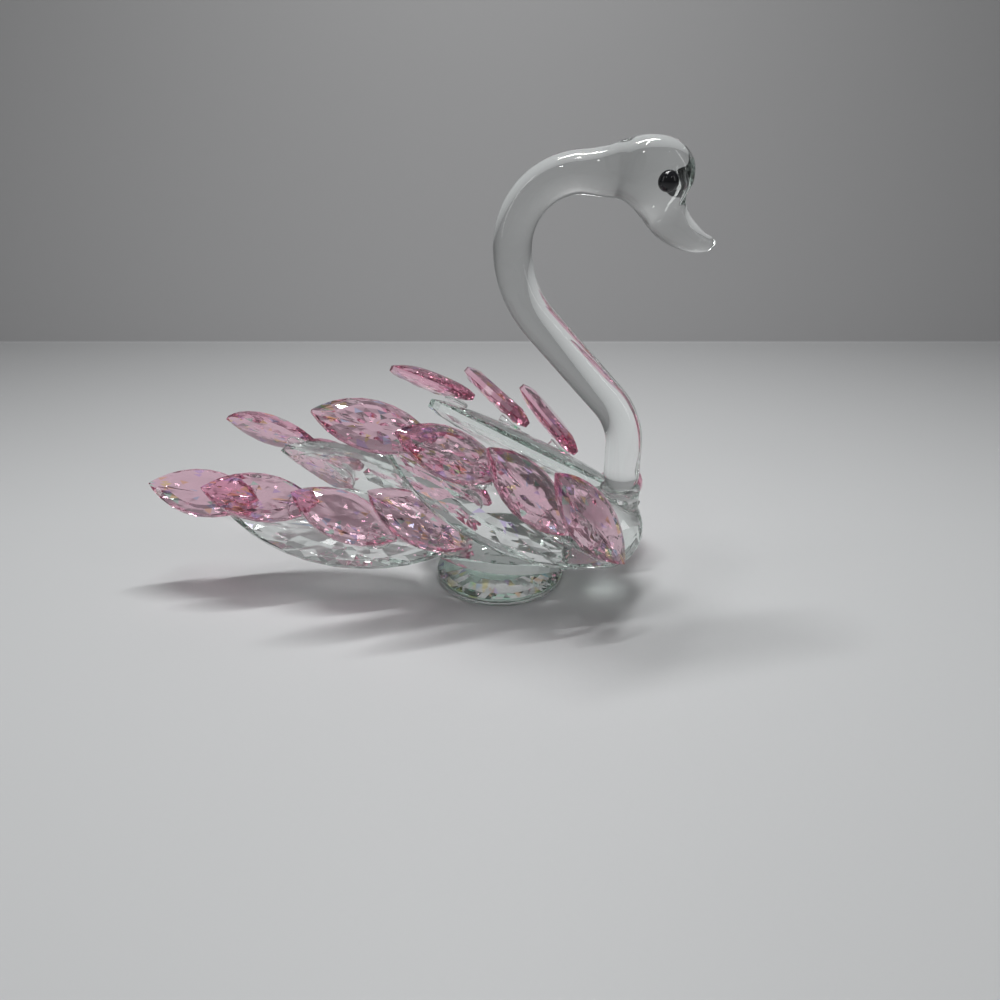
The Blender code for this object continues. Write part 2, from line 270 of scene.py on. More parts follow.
def setCement(name):
    # clear cement, set with small ripples
    look = cementLook
    material, shader, start = newMaterial(name)
    shader.inputs["Base Color"].default_value = look["colour"]
    ripples = noiseOn(start, look["rippleScale"], look["rippleDetail"])
    start.feed(shader.inputs["Roughness"], ripples * look["rough"][1] + look["rough"][0])
    bump = start.node(
        "ShaderNodeBump", None, Strength=look["rippleStrength"], Distance=look["rippleHeight"], Height=ripples
    )
    start.feed(shader.inputs["Normal"], bump.outputs[0])
    setGlass(shader, look["bend"])
    return material


beadLook = {
    "black": (0.003, 0.003, 0.004, 1.0),
    "smudged": (0.012, 0.012, 0.016, 1.0),
    "smudgeScale": 420.0,
    "rough": (0.02, 0.06),  # least, and what the smudges add
    "gloss": 0.45,
}


def beadGlass(name):
    # black and glossy, with faint smudges
    material, shader, start = newMaterial(name)
    smudge = noiseOn(start, beadLook["smudgeScale"])
    start.feed(shader.inputs["Base Color"], smudge.mix(beadLook["black"], beadLook["smudged"]))
    start.feed(shader.inputs["Roughness"], smudge * beadLook["rough"][1] + beadLook["rough"][0])
    shader.inputs["Specular IOR Level"].default_value = beadLook["gloss"]
    return material


clearStone = cutGlass("clear cut glass", glass["clear"], glass["clearDepth"], glass["clearDensity"])
footStone = cutGlass("clear pressed glass", glass["clear"], glass["clearDepth"], glass["footDensity"])
pinkStone = cutGlass("pink cut glass", glass["pink"], glass["pinkDepth"], glass["pinkDensity"])
rodGlass = drawnGlass("drawn rod glass")
cement = setCement("clear cement")
blackBead = beadGlass("black bead glass")
print("swan: materials mixed")


def addMesh(name, points, faces, material):
    # one piece from an array of points in metres and a list of faces
    mesh = bpy.data.meshes.new(name)
    mesh.from_pydata(points.tolist(), [], faces)
    mesh.update()
    mesh.materials.append(material)
    made = bpy.data.objects.new(name, mesh)
    scene.collection.objects.link(made)
    turnOut(mesh)
    return made


def turnOut(mesh):
    # faces point outwards when the sum of their corner volumes is above zero
    mesh.calc_loop_triangles()
    points = np.empty(len(mesh.vertices) * 3)
    mesh.vertices.foreach_get("co", points)
    corners = np.empty(len(mesh.loop_triangles) * 3, np.int32)
    mesh.loop_triangles.foreach_get("vertices", corners)
    triangles = points.reshape(-1, 3)[corners.reshape(-1, 3)]
    triangles = triangles - points.reshape(-1, 3).mean(0)
    if np.linalg.det(triangles).sum() < 0:
        mesh.flip_normals()


def smoothBelow(made, degrees):
    # smooth faces, with edges that turn more than this left crisp
    made.data.polygons.foreach_set("use_smooth", np.ones(len(made.data.polygons), bool))
    made.data.set_sharp_from_angle(angle=math.radians(degrees))


def givePaintedGlint(made, seed, largest):
    # one random number for each facet, which picks its painted rainbow glint colour, and 0 for a facet with a
    # larger area than the given one
    count = len(made.data.polygons)
    area = np.empty(count)
    made.data.polygons.foreach_get("area", area)
    values = np.random.default_rng(seed).random(count) * (area < largest)
    paintedGlint = made.data.attributes.new("paintedGlint", "FLOAT", "FACE")
    paintedGlint.data.foreach_set("value", values.astype(np.float32))


def ringFaces(rings, around):
    # quads between each ring and the next, as one whole index grid
    ring, step = np.meshgrid(np.arange(rings - 1), np.arange(around), indexing="ij")
    after = (step + 1) % around
    quads = np.stack(
        [ring * around + step, ring * around + after, (ring + 1) * around + after,
         (ring + 1) * around + step], axis=-1
    )
    return quads.reshape(-1, 4).tolist()


def fanFaces(pole, first, around, flip):
    # triangles from one point to a ring of points
    step = np.arange(around)
    after = (step + 1) % around
    fan = np.stack([np.full(around, pole), first + step, first + after], axis=-1)
    return (fan[:, ::-1] if flip else fan).tolist()


def ridden(made, node):
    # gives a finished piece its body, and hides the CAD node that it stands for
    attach(made, "root")
    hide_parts(node)
    return made


def cutBack(made, cutter):
    # takes the cutter's shape out of the piece for good
    step = made.modifiers.new("seat", "BOOLEAN")
    step.operation = "DIFFERENCE"
    step.solver = "EXACT"
    step.object = cutter
    graph = bpy.context.evaluated_depsgraph_get()
    result = bpy.data.meshes.new_from_object(made.evaluated_get(graph))
    whole = made.data
    made.modifiers.clear()
    made.data = result
    bpy.data.meshes.remove(whole)


# how the facets of every cut stone get their painted rainbow glints and are loosened
cutting = {
    "paintedGlintArea": 9.0 * mm * mm,  # the largest facet that gets a painted rainbow glint
    "looseSeed": 500,  # added to a stone's seed for the facets that rise and dip
}


def pointedOutline(turn, length, width):
    # two equal arcs that meet in a point at each end: x is the half length times the
    # cosine, and y is the arc's height there, on the side that the sine's sign gives. The
    # added billionth settles that sign at the ends
    half = 0.5 * length
    radius = (half * half + 0.25 * width * width) / width
    along = half * np.cos(turn)
    across = np.sqrt(radius * radius - along * along) - radius + 0.5 * width
    return along, across * np.sign(np.sin(turn + 1e-9))


def roundOutline(turn, length, width):
    # an oval: half the length times the cosine, half the width times the sine
    return 0.5 * length * np.cos(turn), 0.5 * width * np.sin(turn)


def facetedStone(name, outline, length, width, rings, around, place, material, seed):
    # rings of points at shares of the outline and at given heights, each point raised by
    # a random part of its row's fourth number. Rows whose third number differs are half a
    # step apart and are joined by triangles
    shares = np.array([row[0] for row in rings])[:, None]
    heights = np.array([row[1] for row in rings])[:, None]
    shifts = np.array([row[2] for row in rings])[:, None]
    turn = 2.0 * np.pi * (np.arange(around)[None, :] + 0.5 * shifts) / around
    along, across = outline(turn, length, width)
    loose = np.array([row[3] if len(row) > 3 else 0.0 for row in rings])[:, None]
    chance = np.random.default_rng(seed + cutting["looseSeed"]).random(turn.shape)
    points = np.stack([along * shares, across * shares, heights + loose * chance], -1)
    faces = []
    for ring in range(len(rings) - 1):
        a = ring * around + np.arange(around)
        aNext = ring * around + (np.arange(around) + 1) % around
        b, bNext = a + around, aNext + around
        if rings[ring][2] == rings[ring + 1][2]:
            faces += np.stack([a, aNext, bNext, b], -1).tolist()
        elif rings[ring][2] < rings[ring + 1][2]:
            faces += np.stack([a, aNext, b], -1).tolist()
            faces += np.stack([b, aNext, bNext], -1).tolist()
        else:
            faces += np.stack([a, bNext, b], -1).tolist()
            faces += np.stack([a, aNext, bNext], -1).tolist()
    last = (len(rings) - 1) * around
    faces.append(list(range(around))[::-1])
    faces.append(list(range(last, last + around)))
    made = addMesh(name, moved(points.reshape(-1, 3), place), faces, material)
    givePaintedGlint(made, seed, cutting["paintedGlintArea"])
    return made


def moved(points, place):
    # each point times the place's turn, plus its shift
    return points @ place[:3, :3].T + place[:3, 3]


def turnAbout(axis, degrees):
    # turn about y or z, from the angle's cosine and sine
    c, s = math.cos(math.radians(degrees)), math.sin(math.radians(degrees))
    place = np.eye(4)
    if axis == "y":
        place[:3, :3] = [[c, 0, s], [0, 1, 0], [-s, 0, c]]
    else:
        place[:3, :3] = [[c, -s, 0], [s, c, 0], [0, 0, 1]]
    return place


def shift(x, y, z):
    # move without a turn
    place = np.eye(4)
    place[:3, 3] = (x, y, z)
    return place


def unit(vector):
    # the same direction with a length of one
    return vector / np.linalg.norm(vector)


def stoneRings(stone, grow=0.0):
    # from the front table, over the edge band, to the back. Rows of share and rise, with
    # the loose height by which the facets of the back rise and dip
    front, back = stone["front"], stone["back"]
    half = 0.5 * stone["thickness"] + grow
    band = stone["edge"] * half
    rings = [
        (share, band + rise * (half - band), index % 2)
        for index, (share, rise) in enumerate(front)
    ]
    odd = len(front) % 2
    rings += [(1.0, band, odd), (1.0, -band, odd)]
    last = len(back) - 1
    for index, (share, rise) in enumerate(back):
        loose = stone["loose"] if 0 < index < last else 0.0
        rings.append((share, -band - rise * (half - band), (odd + 1 + index) % 2, loose))
    return rings


wing = {
    "length": 112.0 * mm,
    "width": 37.0 * mm,
    "thickness": 12.0 * mm,
    "edge": 0.34,  # share of the thickness that the upright edge band takes
    "around": 30,  # corners round the outline
    "loose": 1.2 * mm,
    # share of the outline and share of the rise above the edge band, ring by ring
    "front": ((0.60, 1.0), (0.76, 0.74), (0.88, 0.46)),
    "back": ((0.88, 0.42), (0.70, 0.74), (0.50, 0.84), (0.28, 1.0)),
    # root end as shares of the ball's or body's half sizes from its middle, then the
    # degrees that the stone spreads outward, climbs, and turns its table up
    "upper": {
        "right": ((0.413, 1.132, -0.338), (2.6, 25.9, 50.0)),
        "left": ((0.813, 1.130, 0.122), (3.3, 21.7, 60.0)),
    },
    "lower": {
        "right": ((-0.362, 0.757, 0.889), (6.7, 6.1, 50.0)),
        "left": ((-0.436, 0.687, 0.832), (7.9, 9.7, 22.0)),
    },
}
feather = {
    "length": 50.0 * mm,
    "width": 22.0 * mm,
    "thickness": 8.0 * mm,
    "edge": 0.34,
    "around": 24,
    "loose": 0.8 * mm,
    "front": ((0.66, 1.0), (0.84, 0.60)),
    "back": ((0.87, 0.46), (0.71, 0.84), (0.54, 0.84), (0.36, 1.0), (0.17, 0.92)),
    # along and across the wing in shares of its half sizes, degrees of turn and lift, and
    # the pad's height in mm, from the wing's tip to its root
    "upper": {
        "right": (
            (0.788, 0.276, -18.0, 6.0, 2.2),
            (0.218, 0.378, -14.0, 19.0, 2.3),
            (-0.409, 0.054, 14.0, 17.0, 2.4),
            (-0.870, 0.108, 17.0, 24.0, 2.2),
        ),
        "left": (
            (0.805, -0.184, -17.0, -4.0, 1.3),
            (0.273, 0.265, -27.0, 17.0, 2.4),
            (-0.189, 0.049, -28.0, 25.0, 2.2),
            (-0.840, -0.300, -80.0, -20.0, 1.5),
        ),
    },
    "lower": {
        "right": (
            (0.804, 0.135, 0.0, 2.0, 0.9),
            (0.332, 0.200, -5.0, 13.5, 3.1),
            (-0.346, -0.211, 12.0, 14.0, 2.5),
            (-0.907, -0.114, 18.0, 14.0, 2.5),
        ),
        "left": (
            (0.913, -0.076, 9.0, -10.0, 1.2),
            (0.341, -0.411, -12.0, 6.0, 2.8),
            (-0.346, -0.211, 12.0, 14.0, 2.5),
            (-0.907, -0.114, 18.0, 14.0, 2.5),
        ),
    },
}
pad = {
    "diameter": 12.0 * mm,
    "inset": 8.0 * mm,  # from the feather's root to the pad's middle
    "round": 0.7 * mm,
    "reach": (0.4, 0.8),  # rings between the middle and the rounded edge
    "bend": 5,  # rings round the edge
    "around": 48,
    "sink": (0.9, 0.0, 0.0, 1.1),  # mm below the wing's table, from the wing's tip to its root
    "crisp": 40.0,
}
body = {
    "length": 84.0 * mm,
    "width": 45.0 * mm,
    "thickness": 15.8 * mm,
    "edge": 0.34,
    "forward": 2.0 * mm,
    "height": 15.0 * mm,
    "around": 30,
    "loose": 0.9 * mm,
    "front": ((0.60, 1.0), (0.76, 0.74), (0.88, 0.46)),
    "back": ((0.88, 0.44), (0.74, 0.72), (0.62, 1.0)),
}
ball = {
    "diameter": 37.4 * mm,
    "seat": 19.0 * mm,  # radius that the upper wings' roots are placed by
    "forward": 47.0 * mm,
    "height": 29.5 * mm,
    "bands": 12,
    "cap": 0.55,  # the first band's tilt, in bands
    "around": 18,
}
foot = {
    "diameter": 60.0 * mm,
    "height": 6.8 * mm,
    "top": 38.0 * mm,
    "around": 48,
    # share of the radius and height in mm of the rounded rim, then share of the radius
    # and share of the rise above the rim of the facets' corners
    "rim": ((0.957, 0.0), (0.978, 0.05), (0.992, 0.16), (1.0, 0.34), (1.0, 2.8), (0.985, 3.3)),
    "facets": ((0.90, 0.50), (0.77, 0.84)),
    "loose": -0.5 * mm,
    "slack": 0.01 * mm,  # a face whose middle is this little above the rim is still rim
    "seed": 5,
}
joint = 0.3 * mm  # room left for cement between two stones


def wingPlace(row, side, sign):
    # where a wing stands: x along the stone, z out of its table, and its root on the ball
    # or the body
    shares, lie = wing[row][side]
    if row == "upper":
        middle = np.array([ball["forward"], 0.0, ball["height"]])
        halves = np.full(3, ball["seat"])
    else:
        middle = np.array([body["forward"], 0.0, body["height"]])
        halves = 0.5 * np.array([body["length"], body["width"], body["thickness"]])
    root = middle + np.array(shares) * halves * (1.0, sign, 1.0)
    spread, climb, faceUp = (math.radians(angle) for angle in lie)
    level = math.cos(climb)
    along = np.array([-level * math.cos(spread), sign * level * math.sin(spread), math.sin(climb)])
    outward = np.array([0.0, sign, 0.0])
    outward = unit(outward - along * (outward @ along))
    upward = np.array([0.0, 0.0, 1.0])
    upward = upward - along * (upward @ along)
    upward = unit(upward - outward * (upward @ outward))
    normal = outward * math.cos(faceUp) + upward * math.sin(faceUp)
    place = np.eye(4)
    place[:3, 0] = along
    place[:3, 1] = np.cross(normal, along)
    place[:3, 2] = normal
    place[:3, 3] = root + along * 0.5 * wing["length"]
    return place


def buildBall(name, grow, seed):
    # bands of points on a sphere, each band turned half a step from the last
    radius = 0.5 * ball["diameter"] + grow
    bands = ball["bands"]
    tilt = np.pi * (np.arange(bands) + ball["cap"]) / (bands - 1 + 2.0 * ball["cap"])
    rings = [(math.sin(t), radius * math.cos(t), index % 2) for index, t in enumerate(tilt)]
    place = shift(ball["forward"], 0.0, ball["height"])
    return facetedStone(
        name, roundOutline, 2 * radius, 2 * radius, rings, ball["around"], place, clearStone, seed
    )


def buildBody(name, grow, seed):
    # pointed stone lying flat, table up
    length, width = body["length"] + 2 * grow, body["width"] + 2 * grow
    place = shift(body["forward"], 0.0, body["height"])
    return facetedStone(
        name, pointedOutline, length, width, stoneRings(body, grow), body["around"], place,
        clearStone, seed
    )


def buildFoot():
    # upright round rim, which is smooth, and staggered facets up to the flat top
    low, high = foot["rim"][-1][1] * mm, foot["height"]
    rings = [(share, height * mm, 0) for share, height in foot["rim"]]
    for index, (share, rise) in enumerate(foot["facets"]):
        rings.append((share, low + rise * (high - low), (index + 1) % 2, foot["loose"]))
    rings.append((foot["top"] / foot["diameter"], high, 1))
    made = facetedStone(
        "footGlass", roundOutline, foot["diameter"], foot["diameter"], rings, foot["around"],
        np.eye(4), footStone, foot["seed"]
    )
    middles = np.empty(len(made.data.polygons) * 3)
    made.data.polygons.foreach_get("center", middles)
    smooth = middles.reshape(-1, 3)[:, 2] < low + foot["slack"]
    made.data.polygons.foreach_set("use_smooth", smooth)
    return made


def wingSpot(along, across, rise):
    # a place on the wing's table, in shares of its half length and half width
    height = 0.5 * wing["thickness"] + rise * mm
    return shift(along * 0.5 * wing["length"], across * 0.5 * wing["width"], height)


def padPoints(place, spot, sink):
    # a disc of points given by radius and angle, closed below by the wing's face and
    # above by the feather's back, each height solved from that plane's equation
    along, across, turn, lift, rise = spot
    seat = wingSpot(along, across, rise)
    turned = seat @ turnAbout("z", turn)
    local = turned @ turnAbout("y", -0.5 * lift)
    leaf = turned @ turnAbout("y", -lift)
    r = 0.5 * pad["diameter"]
    edge = pad["round"]
    bend = np.linspace(0.0, 0.5 * np.pi, pad["bend"])
    reach = np.concatenate([r * np.array(pad["reach"]), r - edge + edge * np.sin(bend)])
    inset = np.concatenate([np.zeros(len(pad["reach"])), edge * (1.0 - np.cos(bend))])
    turnRound = 2.0 * np.pi * np.arange(pad["around"]) / pad["around"]
    x = reach[:, None] * np.cos(turnRound)
    y = reach[:, None] * np.sin(turnRound)
    low = 0.5 * wing["thickness"] + joint - sink * mm - local[2, 3]
    low = (low - local[2, 0] * x - local[2, 1] * y) / local[2, 2] + inset[:, None]
    up = leaf[:3, 2] @ local[:3, :3]
    high = (-joint * 0.5 - up[0] * x - up[1] * y) / up[2] - inset[:, None]
    bottom = np.stack([x, y, low], -1)
    top = np.stack([x, y, high], -1)[::-1]
    rings = np.concatenate([bottom, top])
    poles = np.array([[0.0, 0.0, low[0].mean()], [0.0, 0.0, high[0].mean()]])
    return moved(rings.reshape(-1, 3), place @ local), moved(poles, place @ local), len(rings)


def buildPad(name, place, spot, sink):
    # the disc of padPoints, with a fan of triangles over each end and no painted rainbow glint
    points, poles, rings = padPoints(place, spot, sink)
    around = pad["around"]
    count = len(points)
    faces = ringFaces(rings, around)
    faces += fanFaces(count, 0, around, True)
    faces += fanFaces(count + 1, (rings - 1) * around, around, False)
    made = addMesh(name, np.concatenate([points, poles]), faces, clearStone)
    smoothBelow(made, pad["crisp"])
    givePaintedGlint(made, 0, 0.0)
    return made


def buildFeather(name, place, spot, seed):
    # pointed stone on its pad: the wing's place, then the spot, the turn and the lift
    along, across, turn, lift, rise = spot
    seat = wingSpot(along, across, rise)
    centre = shift(0.5 * feather["length"] - pad["inset"], 0.0, 0.5 * feather["thickness"])
    own = place @ seat @ turnAbout("z", turn) @ turnAbout("y", -lift) @ centre
    rings = stoneRings(feather)
    return facetedStone(
        name, pointedOutline, feather["length"], feather["width"], rings, feather["around"], own,
        pinkStone, seed
    )


seeds = {"ball": 11, "body": 21, "wings": 30}  # of the random facets


def buildStones():
    # ball and body, each made a little larger, cut the seats in the stones that meet them
    ridden(buildFoot(), "foot")
    ridden(buildBall("ballStone", 0.0, seeds["ball"]), "breast_ball")
    ballCutter = buildBall("ballCutter", joint, 0)
    bodyCutter = buildBody("bodyCutter", joint, 0)
    bodyStone = buildBody("bodyStone", 0.0, seeds["body"])
    cutBack(bodyStone, ballCutter)
    ridden(bodyStone, "body_stone")
    seed = seeds["wings"]
    for side, sign in (("right", -1.0), ("left", 1.0)):
        for row, cutter in (("upper", ballCutter), ("lower", bodyCutter)):
            place = wingPlace(row, side, sign)
            stone = facetedStone(
                "wingStone_" + row + "_" + side, pointedOutline, wing["length"], wing["width"],
                stoneRings(wing), wing["around"], place, clearStone, seed
            )
            cutBack(stone, cutter)
            ridden(stone, "wing_" + row + "_" + side)
            for number, spot in enumerate(feather[row][side], 1):
                seed += 1
                name = row + "_" + side + "_" + str(number)
                turned = (spot[0], sign * spot[1], sign * spot[2], spot[3], spot[4])
                leaf = buildFeather("featherStone_" + name, place, turned, seed)
                ridden(leaf, "feather_" + name)
                under = buildPad("padDisc_" + name, place, turned, pad["sink"][number - 1])
                ridden(under, "pad_" + name)
    for cutter in (ballCutter, bodyCutter):
        bpy.data.objects.remove(cutter, do_unlink=True)


buildStones()
print("swan: stones cut and set")


# one rod, bent hot, with the head and bill drawn from its end
neck = {
    "diameter": 15.4,  # lengths here in mm
    "forward": 54.0,
    "start": 48.8,
    "runs": (  # length of a straight run or radius of a bend, and its turn in degrees
        (13.5, 0.0),
        (28.0, 44.0),
        (42.3, 0.0),
        (42.0, -44.0),
        (27.0, -88.0),
    ),
    "around": 56,
    "stride": 0.8,  # between rings
    "endRings": 12,  # round the lower end, its two outermost left out
    "crisp": 60.0,
}
head = {
    # from the crook's top: upper outline, lower outline, half width, all in mm
    "stations": (
        (0.0, 0.0, 0.5, -15.4, 7.7),
        (4.5, 0.5, 4.5, -15.8, 7.8),
        (9.5, 1.4, 8.6, -16.2, 8.2),
        (17.0, 3.7, 13.2, -16.7, 9.5),
        (25.0, 4.78, 17.0, -18.0, 11.6),
        (33.5, 3.0, 20.2, -20.5, 11.9),
        (39.5, -3.0, 22.9, -23.5, 9.8),
        (40.5, -10.0, 25.9, -27.0, 7.3),
        (38.2, -16.0, 30.1, -30.5, 6.4),
        (40.2, -21.4, 35.6, -33.2, 6.3),
        (43.8, -25.6, 41.0, -34.6, 5.8),
        (46.6, -28.0, 45.0, -34.7, 4.8),
        (48.9, -29.2, 48.0, -34.1, 3.6),
        (50.3, -30.6, 49.8, -32.9, 1.7),
    ),
    "tip": (50.6, -31.8),
    # power that the section is drawn with at shares of the head's length: 1 is an oval
    "squareAt": (0.0, 0.25, 0.55, 0.75),
    "square": (1.0, 0.72, 0.72, 1.0),
    "steps": 9,  # rings from one station to the next
}
eye = {
    "diameter": 7.4 * mm,
    "forward": 62.6 * mm,
    "side": 10.4 * mm,
    "height": 173.6 * mm,
    "seam": 0.05,  # mm between the bead and the head's skin
    "rings": 23,
    "around": 40,
    "crisp": 40.0,
}
collar = {
    "top": 50.9,  # lengths here in mm
    "gap": 0.3,  # between the cup and the neck
    "ballGap": 0.15,
    "middle": 0.6,  # radius of the innermost rings
    "cupRings": 12,
    "cupEdge": 0.05,  # that the cup's widest ring keeps from its full radius
    "lip": ((8.3, 0.0), (8.55, 0.1), (8.8, 0.6)),  # radius and drop from the top
    # radius and share of the way down from the lip to the ball
    "waist": ((8.5, 0.25), (8.3, 0.55), (8.45, 0.8), (9.6, 1.0)),
    "seat": 9.0,  # radius of the widest ring under the collar
    "seatRings": 8,
    "around": 64,
    "crisp": 50.0,
}


def neckLine():
    # heading is the running sum of each stride's turn, and place is the running sum of
    # stride times the heading's cosine and sine
    turns, strides = [], []
    for size, degrees in neck["runs"]:
        length = abs(math.radians(degrees)) * size if degrees else size
        steps = max(int(round(length / neck["stride"])), 2)
        turns.append(np.full(steps, math.radians(degrees) / steps))
        strides.append(np.full(steps, length / steps))
    turns, strides = np.concatenate(turns), np.concatenate(strides)
    heading = 0.5 * np.pi + np.cumsum(turns)
    middle = heading - 0.5 * turns
    ahead = np.concatenate([[0.0], np.cumsum(strides * np.cos(middle))])
    rise = np.concatenate([[0.0], np.cumsum(strides * np.sin(middle))])
    x = neck["forward"] + ahead
    z = neck["start"] + 0.5 * neck["diameter"] + rise
    return x, z, np.concatenate([[0.5 * np.pi], heading])


def smoothRows(rows, steps):
    # a curve through every row: each stretch is the cubic whose ends point along the
    # line between the rows on either side
    rows = np.array(rows)
    padded = np.concatenate([rows[:1], rows, rows[-1:]])
    a, b, c, d = (padded[k:k + len(rows) - 1, None, :] for k in range(4))
    t = (np.arange(steps) / steps)[None, :, None]
    curve = 0.5 * (2 * b + (c - a) * t + (2 * a - 5 * b + 4 * c - d) * t ** 2
                   + (3 * b - a - 3 * c + d) * t ** 3)
    return np.concatenate([curve.reshape(-1, rows.shape[1]), rows[-1:]])


def buildNeck(grow=0.0):
    # rings across the line and across the head's two outlines: a point is its ring's
    # centre plus the upright half times the cosine and the sideways half times the sine,
    # both raised to a power that falls below 1 in the head, whose cheeks are flatter
    radius = 0.5 * neck["diameter"] + grow
    bend = np.linspace(0.0, 0.5 * np.pi, neck["endRings"])[1:-1]
    endRise = neck["start"] + radius * (1 - np.cos(bend))
    endCentre = np.stack([np.full(len(bend), neck["forward"]), endRise], -1)
    endAcross = np.stack([radius * np.sin(bend), np.zeros(len(bend))], -1)
    x, z, heading = neckLine()
    rodCentre = np.stack([x, z], -1)
    rodAcross = radius * np.stack([np.sin(heading), -np.cos(heading)], -1)
    crown = np.array([x[-1], z[-1] + radius - grow])
    rows = smoothRows(head["stations"], head["steps"])[1:]
    upper, lower = crown + rows[:, 0:2], crown + rows[:, 2:4]
    upright = 0.5 * (lower - upper)
    upright = upright * (1.0 + grow / np.linalg.norm(upright, axis=1, keepdims=True))
    centre = np.concatenate([endCentre, rodCentre, 0.5 * (upper + lower)])
    across = np.concatenate([endAcross, rodAcross, upright])
    half = np.concatenate([radius * np.sin(bend), np.full(len(x), radius), rows[:, 4] + grow])
    turn = 2.0 * np.pi * np.arange(neck["around"]) / neck["around"]
    share = (np.arange(len(half)) - (len(half) - len(rows))) / len(rows)
    power = np.interp(share, head["squareAt"], head["square"])[:, None]
    lift = np.sign(np.cos(turn)) * np.abs(np.cos(turn)) ** power
    spread = np.sign(np.sin(turn)) * np.abs(np.sin(turn)) ** power
    flat = centre[:, None, :] + across[:, None, :] * lift[:, :, None]
    side = half[:, None] * spread
    rings = np.stack([flat[..., 0], side, flat[..., 1]], -1).reshape(-1, 3)
    tip = crown + np.array(head["tip"])
    poles = np.array([[neck["forward"], 0.0, neck["start"]], [tip[0], 0.0, tip[1]]])
    count, around = len(rings), neck["around"]
    faces = ringFaces(len(half), around)
    faces += fanFaces(count, 0, around, True) + fanFaces(count + 1, count - around, around, False)
    made = addMesh("neckRod", np.concatenate([rings, poles]) * mm, faces, rodGlass)
    smoothBelow(made, neck["crisp"])
    return made


def buildEye(side, sign):
    # sphere: each ring's radius is the sine of its tilt and its height is the cosine
    radius = 0.5 * eye["diameter"]
    count, around = eye["rings"], eye["around"]
    tilt = np.pi * np.arange(1, count + 1)[:, None] / (count + 1)
    turn = 2.0 * np.pi * np.arange(around) / around
    height = np.broadcast_to(np.cos(tilt), (count, around))
    ring = np.stack([np.sin(tilt) * np.cos(turn), np.sin(tilt) * np.sin(turn), height], -1)
    points = np.concatenate([ring.reshape(-1, 3), [[0, 0, 1], [0, 0, -1]]]) * radius
    points = points + (eye["forward"], sign * eye["side"], eye["height"])
    top, last = count * around, (count - 1) * around
    faces = ringFaces(count, around)
    faces += fanFaces(top, 0, around, True) + fanFaces(top + 1, last, around, False)
    return addMesh("eyeBead_" + side, points, faces, blackBead)


def onBall(reach, turn):
    # height of the ball, with its layer of cement, at these distances from the neck's middle
    radius = 0.5 * ball["diameter"] / mm + collar["ballGap"]
    x = neck["forward"] - ball["forward"] / mm + reach[:, None] * np.cos(turn)
    y = reach[:, None] * np.sin(turn)
    return ball["height"] / mm + np.sqrt(np.maximum(radius ** 2 - x ** 2 - y ** 2, 0.0))


def buildCollar():
    # turned shape: up the cup under the neck, over the lip, down the waist, and back
    # along the ball, whose height at each point is its sphere's
    radius = 0.5 * neck["diameter"] + collar["gap"]
    turn = 2.0 * np.pi * np.arange(collar["around"]) / collar["around"]
    inner = np.linspace(collar["middle"], radius - collar["cupEdge"], collar["cupRings"])
    cup = neck["start"] + radius - collar["gap"] - np.sqrt(radius ** 2 - inner ** 2)
    cup = np.minimum(cup, collar["top"])
    lip, waist = np.array(collar["lip"]), np.array(collar["waist"])
    lipHeight = collar["top"] - lip[:, 1]
    waistHeight = lipHeight[-1] + (onBall(waist[-1:, 0], turn) - lipHeight[-1]) * waist[:, 1:]
    under = np.linspace(collar["seat"], collar["middle"], collar["seatRings"])
    reach = np.concatenate([inner, lip[:, 0], waist[:, 0], under])
    cupHeight = np.repeat(np.concatenate([cup, lipHeight])[:, None], len(turn), 1)
    height = np.concatenate([cupHeight, waistHeight, onBall(under, turn)])
    x = neck["forward"] + reach[:, None] * np.cos(turn)
    y = reach[:, None] * np.sin(turn)
    rings = np.stack([x, y, height], -1).reshape(-1, 3)
    middle = neck["forward"]
    poles = np.array([[middle, 0.0, height[0].mean()], [middle, 0.0, height[-1].mean()]])
    count, around = len(rings), collar["around"]
    faces = ringFaces(len(reach), around)
    faces += fanFaces(count, 0, around, True) + fanFaces(count + 1, count - around, around, False)
    made = addMesh("collarCement", np.concatenate([rings, poles]) * mm, faces, cement)
    smoothBelow(made, collar["crisp"])
    return made


ridden(buildNeck(), "neck_and_head")
ridden(buildCollar(), "neck_collar")
headCutter = buildNeck(eye["seam"])
for side, sign in (("right", -1.0), ("left", 1.0)):
    bead = buildEye(side, sign)
    cutBack(bead, headCutter)
    smoothBelow(bead, eye["crisp"])
    ridden(bead, "eye_" + side)
bpy.data.objects.remove(headCutter, do_unlink=True)
print("swan: neck, head, collar and eyes made")


# floor, wall and the grey all round them
stage = {
    "wallBehind": 0.456,  # metres from the foot to the wall
    "bend": 0.002,  # radius where the floor meets the wall
    "bendRings": 9,
    "ahead": (-2.5, -0.6, 0.0),  # metres of floor towards the camera
    "below": 0.0001,  # metres from the floor to the foot's underside
    "wallHeight": 1.6,
    "halfWidth": 2.5,
    "strips": 4,  # across the width
    "floor": (0.60, 0.61, 0.615, 1.0),
    "farFloorPaintedShade": (0.44, 0.445, 0.45, 1.0),  # painted shade by the wall, where the lamps' light falls off
    "paintedShadeFrom": 0.05,  # metres behind the foot where the painted shade starts to darken the floor
    "wall": (0.45, 0.45, 0.455, 1.0),
    "highWallPaintedShade": (0.31, 0.31, 0.313, 1.0),
    "wallRise": 0.35,  # metres over which the painted shade darkens the wall upwards
    "seam": 0.003,  # metres above the floor where the wall's colour is full
    "roughness": 0.55,
    "gloss": 0.3,
    "sky": (0.16, 0.16, 0.162, 1.0),  # the same grey all round
}


